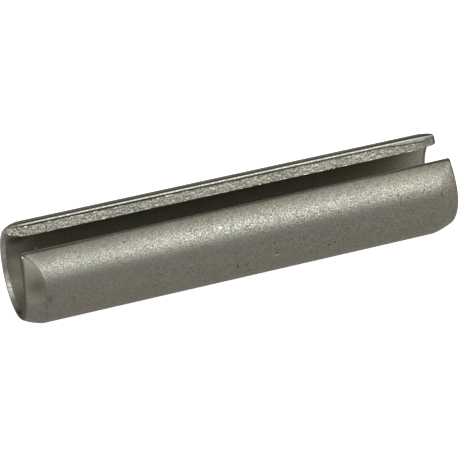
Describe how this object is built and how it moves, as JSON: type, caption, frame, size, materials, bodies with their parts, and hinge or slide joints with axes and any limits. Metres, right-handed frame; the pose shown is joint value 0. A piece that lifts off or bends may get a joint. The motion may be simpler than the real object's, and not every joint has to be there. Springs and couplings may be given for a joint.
{
  "type": "slotted spring pin",
  "caption": "Slotted spring pin: rolled spring-steel strip with a lengthwise gap and swaged lead-in noses, driven into a drilled hole to locate or lock parts.",
  "frame": {"origin": "on the pin's axis, halfway along its length", "axes": "+X along the pin, +Z through the middle of the slot, which faces straight up as the pin lies"},
  "size_m": [0.0282, 0.0064, 0.0061],
  "materials": {
    "spring_steel": "satin, finely blasted, lightly oxidised spring steel"
  },
  "bodies": {
    "root": {"spring_pin": "spring_steel"}
  },
  "joints": []
}
